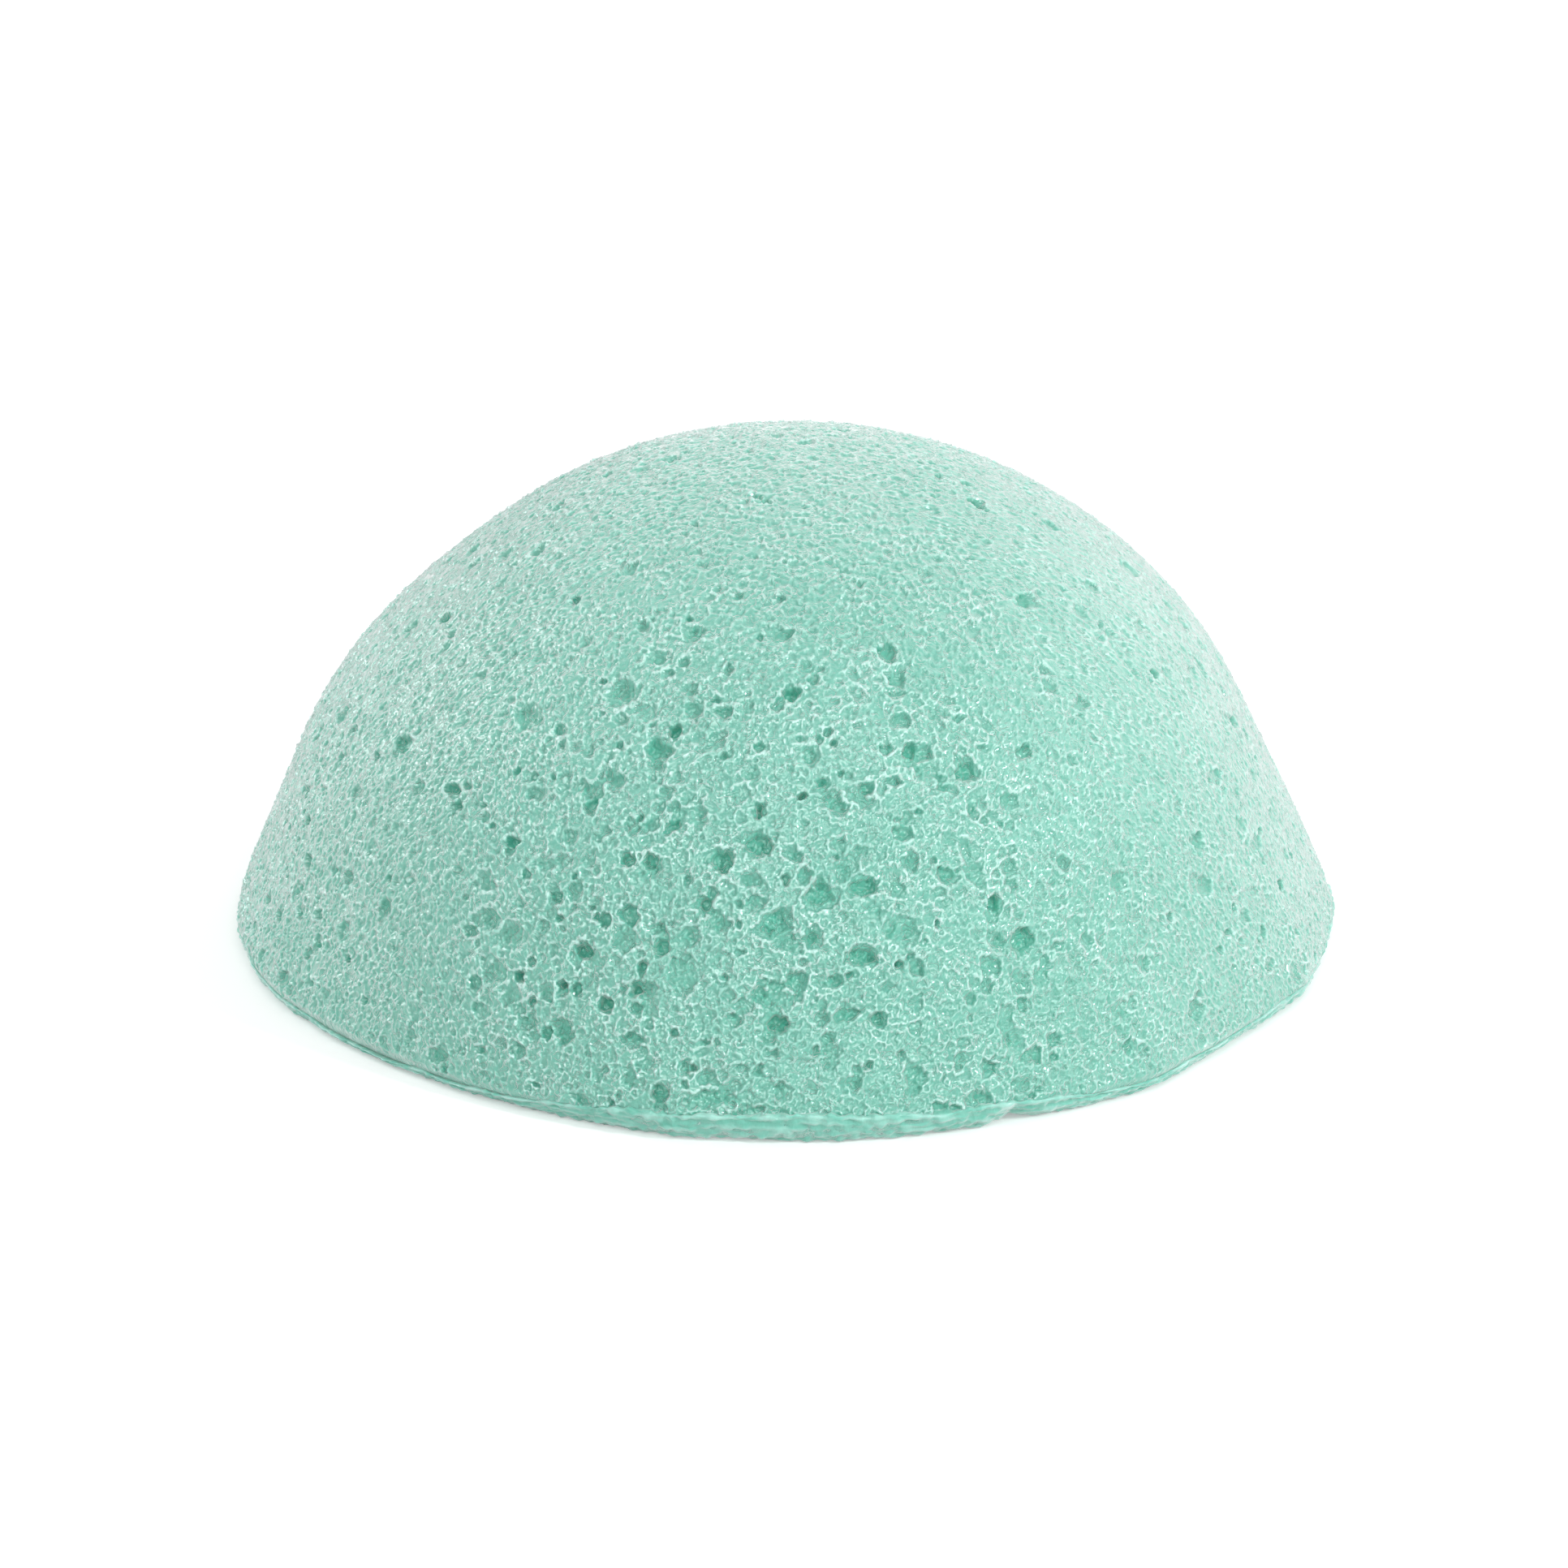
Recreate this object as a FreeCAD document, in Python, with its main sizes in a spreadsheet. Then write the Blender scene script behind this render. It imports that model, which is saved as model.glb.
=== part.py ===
# A half-dome konjac sponge: open-cell gel foam cast on a thin, denser base skin.
# Millimetres, +Z up. The origin is the centre of the flat underside.
import FreeCAD
import Part
import math
import os
import Sketcher

SIZES = (
    ("base_diameter", "80"),
    ("overall_height", "36.2"),
    ("flank_height", "11.1"),
    ("skin_thickness", "1.7"),
    ("skin_lip", "0.3"),
    ("skin_undercut", "1"),
    ("skin_rim_radius", "2.5"),
    ("pore_diameter", "2.2"),
    ("pore_depth", "0.8"),
)

# The larger open pores of the front, placed by eye: degrees round from the front,
# share of the foam's height, share of the largest pore's diameter.
FRONT_PORE_SHARES = (
    (-47, 0.51, 0.55), (-45, 0.47, 0.40), (-41, 0.65, 0.85), (-35, 0.45, 0.45),
    (-33, 0.22, 0.90), (-32, 0.29, 0.80), (-31, 0.17, 0.70), (-28, 0.38, 0.50),
    (-27, 0.72, 0.90), (-26, 0.54, 0.50), (-26, 0.12, 0.45), (-24, 0.78, 0.60),
    (-23, 0.29, 0.65), (-23, 0.22, 0.45), (-21, 0.35, 0.50), (-20, 0.47, 0.50),
    (-20, 0.20, 0.60), (-19, 0.64, 0.80), (-18, 0.37, 0.60), (-18, 0.31, 0.80),
    (-17, 0.69, 0.45), (-17, 0.46, 0.60), (-16, 0.14, 0.60), (-15, 0.53, 0.45),
    (-14, 0.32, 0.60), (-13, 0.05, 0.60), (-11, 0.26, 1.00), (-10, 0.40, 0.60),
    (-8, 0.48, 0.75), (-4, 0.51, 0.80), (-4, 0.42, 0.55), (-2, 0.36, 1.00),
    (-1, 0.19, 0.80), (0, 0.74, 0.60), (1, 0.27, 0.70), (3, 0.65, 0.60),
    (3, 0.34, 0.65), (4, 0.41, 0.80), (4, 0.16, 0.55), (6, 0.57, 0.55),
    (8, 0.30, 0.80), (9, 0.43, 0.75), (10, 0.60, 0.50), (10, 0.19, 0.55),
    (13, 0.35, 0.90), (14, 0.52, 0.55), (16, 0.70, 0.55), (17, 0.65, 0.55),
    (18, 0.76, 0.55), (19, 0.44, 0.60), (21, 0.08, 0.55), (24, 0.61, 0.80),
    (24, 0.37, 0.60), (27, 0.43, 0.55), (27, 0.29, 0.75), (34, 0.61, 0.50),
)

# The larger open pores of the sides and back, spread by the golden ratio.
BACK_PORE_COUNT = 40
BACK_START_ANGLE = 48
BACK_SWEEP_ANGLE = 258
GOLDEN_SHARE = (math.sqrt(5) - 1) / 2
BACK_LOWEST_SHARE = 0.06
BACK_HIGHEST_SHARE = 0.94
BACK_SIZE_SHARES = (0.80, 0.55, 0.65, 0.95, 0.60, 0.45, 0.70)

# Foam cells are many-sided: the sides of the pores in turn.
CELL_SIDES = (6, 7, 5, 8)

FULL_TURN_ANGLE = 360

# Sketcher's numbers for the root point, the upright axis and the points of a curve.
ROOT_INDEX = -1
AXIS_INDEX = -2
START_INDEX = 1
END_INDEX = 2
CENTRE_INDEX = 3


def make_sheet(document):
    """The driving dimensions, one named cell each."""
    sheet = document.addObject("Spreadsheet::Sheet", "Sizes")
    for row, (alias, value) in enumerate(SIZES, start=1):
        sheet.set(f"A{row}", alias)
        sheet.set(f"B{row}", value)
        sheet.setAlias(f"B{row}", alias)
    document.recompute()
    return sheet


def add_profile(document, body_name, sketch_name):
    """A body and an empty sketch on its XZ plane, where sketch height is height above the base."""
    body = document.addObject("PartDesign::Body", body_name)
    plane = next(feature for feature in body.Origin.OriginFeatures if feature.Role == "XZ_Plane")
    sketch = body.newObject("Sketcher::SketchObject", sketch_name)
    sketch.AttachmentSupport = [(plane, "")]
    sketch.MapMode = "FlatFace"
    return body, sketch


def bind_dimension(sketch, name, constraint, expression):
    """A named sketch dimension that follows the sheet."""
    index = sketch.addConstraint(constraint)
    sketch.renameConstraint(index, name)
    sketch.setExpression(f"Constraints.{name}", expression)


def add_measure(sketch, name, constraint):
    """A named sketch dimension that only reads what the others give."""
    index = sketch.addConstraint(constraint)
    sketch.setDriving(index, False)
    sketch.renameConstraint(index, name)


def turn_profile(document, body, sketch, name):
    """The half profile turned once round the upright axis."""
    turned = body.newObject("PartDesign::Revolution", name)
    turned.Profile = sketch
    turned.ReferenceAxis = (sketch, ["V_Axis"])
    turned.Angle = FULL_TURN_ANGLE
    document.recompute()


def make_dome_blank(document, sheet):
    """The dome without its pores: a straight drafted flank that runs into a round crown."""
    foot_radius = sheet.base_diameter / 2
    foot_level = sheet.skin_thickness
    flank_rise = sheet.flank_height
    shoulder_level = foot_level + flank_rise
    crown_rise = sheet.overall_height - shoulder_level

    # Where a flank meets, without a corner, a crown that is centred on the axis.
    reach = math.sqrt(foot_radius ** 2 + flank_rise * (2 * crown_rise + flank_rise))
    shoulder_radius = crown_rise * flank_rise / (reach - foot_radius)
    crown_radius = (shoulder_radius ** 2 + crown_rise ** 2) / (2 * crown_rise)
    crown_centre = FreeCAD.Vector(0, sheet.overall_height - crown_radius)
    shoulder_angle = math.atan2(shoulder_level - crown_centre.y, shoulder_radius)

    foot_middle = FreeCAD.Vector(0, foot_level)
    foot_edge = FreeCAD.Vector(foot_radius, foot_level)
    shoulder = FreeCAD.Vector(shoulder_radius, shoulder_level)
    apex = FreeCAD.Vector(0, sheet.overall_height)
    crown_circle = Part.Circle(crown_centre, FreeCAD.Vector(0, 0, 1), crown_radius)

    body, sketch = add_profile(document, "dome_blank", "dome_profile")
    foot = sketch.addGeometry(Part.LineSegment(foot_middle, foot_edge))
    flank = sketch.addGeometry(Part.LineSegment(foot_edge, shoulder))
    crown = sketch.addGeometry(Part.ArcOfCircle(crown_circle, shoulder_angle, math.pi / 2))
    axis = sketch.addGeometry(Part.LineSegment(apex, foot_middle))
    sketch.addConstraint([
        Sketcher.Constraint("Coincident", foot, END_INDEX, flank, START_INDEX),
        Sketcher.Constraint("Tangent", flank, END_INDEX, crown, START_INDEX),
        Sketcher.Constraint("Coincident", crown, END_INDEX, axis, START_INDEX),
        Sketcher.Constraint("Coincident", axis, END_INDEX, foot, START_INDEX),
        Sketcher.Constraint("Horizontal", foot),
        Sketcher.Constraint("PointOnObject", axis, START_INDEX, AXIS_INDEX),
        Sketcher.Constraint("PointOnObject", axis, END_INDEX, AXIS_INDEX),
        Sketcher.Constraint("PointOnObject", crown, CENTRE_INDEX, AXIS_INDEX),
    ])
    bind_dimension(
        sketch, "foot_level",
        Sketcher.Constraint("DistanceY", ROOT_INDEX, START_INDEX, foot, START_INDEX, foot_level),
        "Sizes.skin_thickness",
    )
    bind_dimension(
        sketch, "foot_radius",
        Sketcher.Constraint("DistanceX", foot, START_INDEX, foot, END_INDEX, foot_radius),
        "Sizes.base_diameter / 2",
    )
    bind_dimension(
        sketch, "flank_rise",
        Sketcher.Constraint("DistanceY", flank, START_INDEX, flank, END_INDEX, flank_rise),
        "Sizes.flank_height",
    )
    bind_dimension(
        sketch, "apex_level",
        Sketcher.Constraint("DistanceY", ROOT_INDEX, START_INDEX, axis, START_INDEX, sheet.overall_height),
        "Sizes.overall_height",
    )
    add_measure(
        sketch, "shoulder_radius",
        Sketcher.Constraint("DistanceX", ROOT_INDEX, START_INDEX, flank, END_INDEX, shoulder_radius),
    )
    add_measure(sketch, "crown_radius", Sketcher.Constraint("Radius", crown, crown_radius))
    turn_profile(document, body, sketch, "dome_turned")
    return body


def make_pore(document, sides, angle, height_share, size_share):
    """One open cell: a many-sided pit, square to the dome's surface and centred on it."""
    form = "dome_profile.Constraints"
    foam_height = f"({form}.apex_level - {form}.foot_level)"
    height = f"({height_share} * {foam_height})"
    below_apex = f"({foam_height} - {height})"
    drawn_in = f"({form}.foot_radius - {form}.shoulder_radius) * {height} / {form}.flank_rise"
    on_flank = f"{form}.foot_radius - {drawn_in}"
    on_crown = f"sqrt({below_apex} * (2 * {form}.crown_radius - {below_apex}))"

    pore = document.addObject("Part::Prism", "pore")
    pore.Polygon = sides
    pore.setExpression("Circumradius", f"{size_share} * Sizes.pore_diameter / 2")
    pore.setExpression("Height", "2 * Sizes.pore_depth")
    pore.addProperty("App::PropertyLength", "Reach", "Pore", "Distance of the surface from the axis")
    pore.addProperty("App::PropertyAngle", "Tilt", "Pore", "Lean of the surface from level")
    pore.setExpression("Reach", f"{height} < {form}.flank_rise ? {on_flank} : {on_crown}")
    pore.setExpression("Tilt", f"asin(min(Reach; {form}.shoulder_radius) / {form}.crown_radius)")

    turn = math.radians(angle)
    tilt_axis = FreeCAD.Vector(math.cos(turn), math.sin(turn), 0)
    pore.Placement.Rotation = FreeCAD.Rotation(tilt_axis, 1)
    floor_reach = "(Reach - Height / 2 * sin(Tilt))"
    pore.setExpression("Placement.Rotation.Angle", "Tilt")
    pore.setExpression("Placement.Base.x", f"{floor_reach} * sin({angle} deg)")
    pore.setExpression("Placement.Base.y", f"-{floor_reach} * cos({angle} deg)")
    pore.setExpression("Placement.Base.z", f"{form}.foot_level + {height} - Height / 2 * cos(Tilt)")
    return pore


def back_pore_shares():
    """Rows for the hidden side, in the form of the front's table."""
    rows = []
    for index in range(BACK_PORE_COUNT):
        angle = BACK_START_ANGLE + BACK_SWEEP_ANGLE * (index * GOLDEN_SHARE % 1)
        climb_share = index / (BACK_PORE_COUNT - 1)
        height_share = BACK_LOWEST_SHARE + climb_share * (BACK_HIGHEST_SHARE - BACK_LOWEST_SHARE)
        size_share = BACK_SIZE_SHARES[index % len(BACK_SIZE_SHARES)]
        rows.append((round(angle), round(height_share, 2), size_share))
    return rows


def make_foam_dome(document, sheet):
    """The foam: the moulded dome with its larger pores cut open at the surface."""
    blank = make_dome_blank(document, sheet)
    rows = [*FRONT_PORE_SHARES, *back_pore_shares()]
    pores = document.addObject("Part::Compound", "open_pores")
    pores.Links = [
        make_pore(document, CELL_SIDES[index % len(CELL_SIDES)], *row) for index, row in enumerate(rows)
    ]
    foam = document.addObject("Part::Cut", "foam_dome")
    foam.Base = blank
    foam.Tool = pores
    foam.Label = "foam_dome"
    return foam


def make_base_skin(document, sheet):
    """The skin cast against the flat of the mould, with a bulged rim set in from the foam's foot."""
    top_radius = sheet.base_diameter / 2 - sheet.skin_lip
    flat_radius = top_radius - sheet.skin_undercut
    thickness = sheet.skin_thickness
    base_middle = FreeCAD.Vector(0, 0)
    flat_edge = FreeCAD.Vector(flat_radius, 0)
    top_edge = FreeCAD.Vector(top_radius, thickness)
    top_middle = FreeCAD.Vector(0, thickness)

    # The rim's arc stands on the chord from the flat's edge to the top edge.
    chord = top_edge - flat_edge
    inward = FreeCAD.Vector(-chord.y, chord.x).normalize()
    setback = math.sqrt(sheet.skin_rim_radius ** 2 - (chord.Length / 2) ** 2)
    rim_centre = (flat_edge + top_edge) / 2 + inward * setback
    rim_circle = Part.Circle(rim_centre, FreeCAD.Vector(0, 0, 1), sheet.skin_rim_radius)
    rim_start_angle = math.atan2(flat_edge.y - rim_centre.y, flat_edge.x - rim_centre.x)
    rim_end_angle = math.atan2(top_edge.y - rim_centre.y, top_edge.x - rim_centre.x)

    body, sketch = add_profile(document, "base_skin", "skin_profile")
    underside = sketch.addGeometry(Part.LineSegment(base_middle, flat_edge))
    rim = sketch.addGeometry(Part.ArcOfCircle(rim_circle, rim_start_angle, rim_end_angle))
    top = sketch.addGeometry(Part.LineSegment(top_edge, top_middle))
    axis = sketch.addGeometry(Part.LineSegment(top_middle, base_middle))
    sketch.addConstraint([
        Sketcher.Constraint("Coincident", underside, END_INDEX, rim, START_INDEX),
        Sketcher.Constraint("Coincident", rim, END_INDEX, top, START_INDEX),
        Sketcher.Constraint("Coincident", top, END_INDEX, axis, START_INDEX),
        Sketcher.Constraint("Coincident", axis, END_INDEX, underside, START_INDEX),
        Sketcher.Constraint("Coincident", underside, START_INDEX, ROOT_INDEX, START_INDEX),
        Sketcher.Constraint("Horizontal", underside),
        Sketcher.Constraint("Horizontal", top),
        Sketcher.Constraint("Vertical", axis),
    ])
    bind_dimension(
        sketch, "flat_radius",
        Sketcher.Constraint("DistanceX", underside, START_INDEX, underside, END_INDEX, flat_radius),
        "Sizes.base_diameter / 2 - Sizes.skin_lip - Sizes.skin_undercut",
    )
    bind_dimension(
        sketch, "top_radius",
        Sketcher.Constraint("DistanceX", top, END_INDEX, top, START_INDEX, top_radius),
        "Sizes.base_diameter / 2 - Sizes.skin_lip",
    )
    bind_dimension(
        sketch, "thickness",
        Sketcher.Constraint("DistanceY", axis, END_INDEX, axis, START_INDEX, thickness),
        "Sizes.skin_thickness",
    )
    bind_dimension(
        sketch, "rim_radius",
        Sketcher.Constraint("Radius", rim, sheet.skin_rim_radius),
        "Sizes.skin_rim_radius",
    )
    turn_profile(document, body, sketch, "skin_turned")
    body.Label = "base_skin"
    return body


def check_document(document, sub_parts):
    """Stop before anything is written if a feature failed or a shape is bad."""
    for item in document.Objects:
        if "Invalid" in item.State or "Error" in item.State:
            raise RuntimeError(f"{item.Label} failed: {item.State}")
    for item in sub_parts:
        if item.Shape.isNull() or not item.Shape.isValid():
            raise RuntimeError(f"{item.Label} has no valid shape")


def main():
    document = FreeCAD.newDocument("konjac_sponge")
    sheet = make_sheet(document)
    sub_parts = [make_foam_dome(document, sheet), make_base_skin(document, sheet)]
    document.recompute()
    check_document(document, sub_parts)
    os.makedirs("parts", exist_ok=True)
    for item in sub_parts:
        item.Shape.exportStep(os.path.join("parts", f"{item.Label}.step"))
        print(f"{item.Label}: {len(item.Shape.Solids)} solid, {item.Shape.Volume:.1f} mm3")


main()
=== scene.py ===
# A half-dome konjac sponge: a moulded gel-foam dome with open pores on a denser base skin.
# The shape code works in millimetres and degrees, and the meshes are in metres.
import math

import bpy
import numpy as np
from mathutils import Matrix, Vector


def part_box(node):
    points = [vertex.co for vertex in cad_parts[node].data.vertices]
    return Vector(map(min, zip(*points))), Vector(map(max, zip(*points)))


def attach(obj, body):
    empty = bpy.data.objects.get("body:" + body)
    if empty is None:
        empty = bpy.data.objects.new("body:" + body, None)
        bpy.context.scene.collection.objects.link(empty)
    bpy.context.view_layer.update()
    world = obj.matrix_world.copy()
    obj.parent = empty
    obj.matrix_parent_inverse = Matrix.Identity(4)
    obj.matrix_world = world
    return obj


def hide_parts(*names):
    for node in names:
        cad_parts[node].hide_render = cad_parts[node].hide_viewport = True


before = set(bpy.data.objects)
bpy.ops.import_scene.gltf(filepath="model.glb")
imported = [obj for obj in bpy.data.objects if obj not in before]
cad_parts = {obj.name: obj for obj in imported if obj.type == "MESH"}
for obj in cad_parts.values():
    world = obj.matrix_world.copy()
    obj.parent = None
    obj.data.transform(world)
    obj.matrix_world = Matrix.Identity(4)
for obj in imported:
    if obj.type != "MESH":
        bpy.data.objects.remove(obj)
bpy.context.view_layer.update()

MM = 0.001
TAU = 2 * math.pi
SEED = 41

# Points along each side of the square grid that is laid over a piece.
FOAM_GRID = 1101
SKIN_GRID = 641
SPREAD_STEPS = 2001  # steps in which a form's rings are looked up
WINDOW_MARGIN = 1.7  # a carving's window over its reach, because the grid's meshes are uneven

# The dome.
FLANK_SHARE = 0.3217  # the flank's share of the foam's height
FOAM_TUCK = 1.15  # the foam runs on this far below its foot, curving in behind the skin
TUCK_BEND = 0.34  # how fast it curves in, per millimetre
RING_CROWDING = 0.11  # how much closer together the rings are towards the foot

# The skin: the flat's distance in from the rim, and the grid's shares at the middle, the flat's
# edge, the top's edge and the inner end.
SKIN_FLAT_INSET = 2.2
SKIN_RING_SHARES = (0.0, 0.70, 0.97, 1.0)

# The foot's band: degrees round from the front, and the skin's height there.
BAND_HEIGHTS = (
    (-180.0, 1.6), (-125.0, 1.9), (-75.0, 1.2), (-48.0, 0.75), (-35.0, 0.85), (-27.0, 1.3),
    (-12.0, 2.2), (5.0, 2.3), (15.0, 2.0), (23.0, 1.9), (30.0, 1.5), (39.0, 1.0), (56.0, 1.3),
    (92.0, 1.8), (140.0, 1.5),
)
BAND_WAVES = ((0.07, 17.0, 1.0), (0.05, 41.0, 0.0))  # rise, number all round, phase
# Corners of the foot's outline, set against the photograph's: degrees round from the front, and how far the edge is
# lifted there.
FOOT_CORNERS = (
    (-160.0, 0.12), (-138.0, 0.25), (-121.0, 0.10), (-96.0, 0.30), (-82.0, 0.08), (-69.0, 0.16),
    (-11.0, 0.02), (-6.0, 0.12), (5.0, 0.0), (15.0, 0.12), (23.5, 0.50), (40.0, 0.12),
    (68.5, 0.12), (88.0, 0.28), (107.0, 0.10), (131.0, 0.22), (150.0, 0.14), (175.0, 0.26),
)
FOOT_RADIUS = 40.0
FOOT_SAG = 1.5  # the most that the foot's outline is drawn in between two corners
SAG_FADE, SAG_RADII = 5.0, (30.0, 39.0)  # height over which it fades, and the radii where it sets in
LIFT_REACH = 2.0  # degrees
DENT_PER_LIFT, DENT_FADE, DENT_RADII = 3.4, 1.4, (33.0, 38.5)
RAISE_PER_LIFT, RAISE_FADE, RAISE_RADII = 0.6, 0.7, (36.0, 39.2)

# Where the dome stands out or in, set against the photograph's outline: degrees round from the front, height, reach
# in degrees, reach in height, how far.
SWELLS = (
    (-70.0, 17.0, 42.0, 9.0, 0.40), (-100.0, 27.0, 40.0, 5.0, -0.60), (90.0, 14.5, 40.0, 6.5, -0.62),
)
CROWN_SHIFT, CROWN_HEIGHT = 0.5, 36.0  # how far the crown leans to the right, at this height

# Sides where the foam's face is calmer, and paler as a painted sheen: degrees round from the front, reach in
# degrees, share.
CALM_SIDES = ((90.0, 48.0, 1.0), (-95.0, 18.0, 0.4))
CALM_RADII = (6.0, 24.0)  # the radii where that sets in
CALM_HEIGHTS, CALM_RELIEF, CALM_PAINTED_SHEEN = 0.45, 0.35, 0.022

# Random waves. Those that make outlines uneven are given by wavelength and number.
WAVE_SPREAD = (0.75, 1.25)  # how far the waves of one field differ
FOAM_RUFFLE, FOAM_CRINKLE = (0.75, 24), (0.40, 32)
SKIN_RUFFLE, SKIN_CRINKLE = (0.8, 24), (0.5, 24)

# Foam cells, all over.
FOAM_CELLS = 42000
CELL_DIAMETER, CELL_SPREAD, CELL_LEAST, CELL_MOST = 0.56, 0.42, 0.30, 1.5
CELL_ORDER = (0.35, 1.0)  # how far chance disturbs the order from coarse to fine
CELL_DEPTH, CELL_DEPTH_CHANCE, CELL_DEPTH_LEAST = 0.07, 0.22, 0.02
CELL_RIMS = (0.04, 0.13)
CELL_COVER = 0.80  # how far a cell hides what was there
CELL_STRETCH = (-0.35, 0.35)  # logarithms of width over height
CELL_SIDES = (5, 8)
SIDE_SHIFT, SIDE_REACHES = 0.28, (0.80, 1.12)  # how uneven the sides are
CELL_POWER = 6.0  # higher is nearer to a sharp polygon
CELL_REACH, CELL_MARGIN = 1.25, 0.2  # share of the radius, and millimetres, that a carving covers
CELL_RUFFLE = 0.035
CELL_EDGE = (0.04, -0.08)
CELL_DISH_POWER = 0.6
CELL_RIM_LEAN, CELL_RIM_WIDTH = (-0.6, 0.7), 0.07  # a rim is a crescent

# Open pores: a ledge, a hole in it and a rim. KEPT is the share of what was there that shows
# through, and BOWL a floor's depth at its edge as a share of that in the middle.
PORE_POWER = 7.0
PORE_REACH, PORE_MARGIN = 1.8, 0.3
PORE_RUFFLE, PORE_CRINKLE = 0.05, 0.03
LOBE_SIZES, LOBE_OFFSETS, LOBE_SIDES = (0.45, 0.75), (0.45, 0.75), 5  # shares of the pore's radius
LEDGE_DEPTH, LEDGE_MOST, LEDGE_EDGE = 0.45, 0.30, (0.03, -0.11)
LEDGE_BOWL, LEDGE_KEPT = 0.8, 0.5
PORE_RIM, PORE_RIM_OUT, PORE_RIM_WIDTH = 0.07, 0.03, 0.075
PORE_RIM_BREAKS, PORE_RIM_CRINKLE = (-0.8, 0.8), 0.6
HOLE_SIZES, HOLE_DEPTH = (0.68, 0.90), 0.85  # shares of the pore's radius and depth
HOLE_SIDEWAYS, HOLE_UPWARD = (-0.5, 0.5), (-0.5, 0.9)  # shares of the room that it has
HOLE_BOWL, HOLE_KEPT = 0.88, 0.4
HOLE_EDGE, HOLE_SLOPE = (0.02, -0.06), 0.16  # its wall, wider for a deeper one
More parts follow.
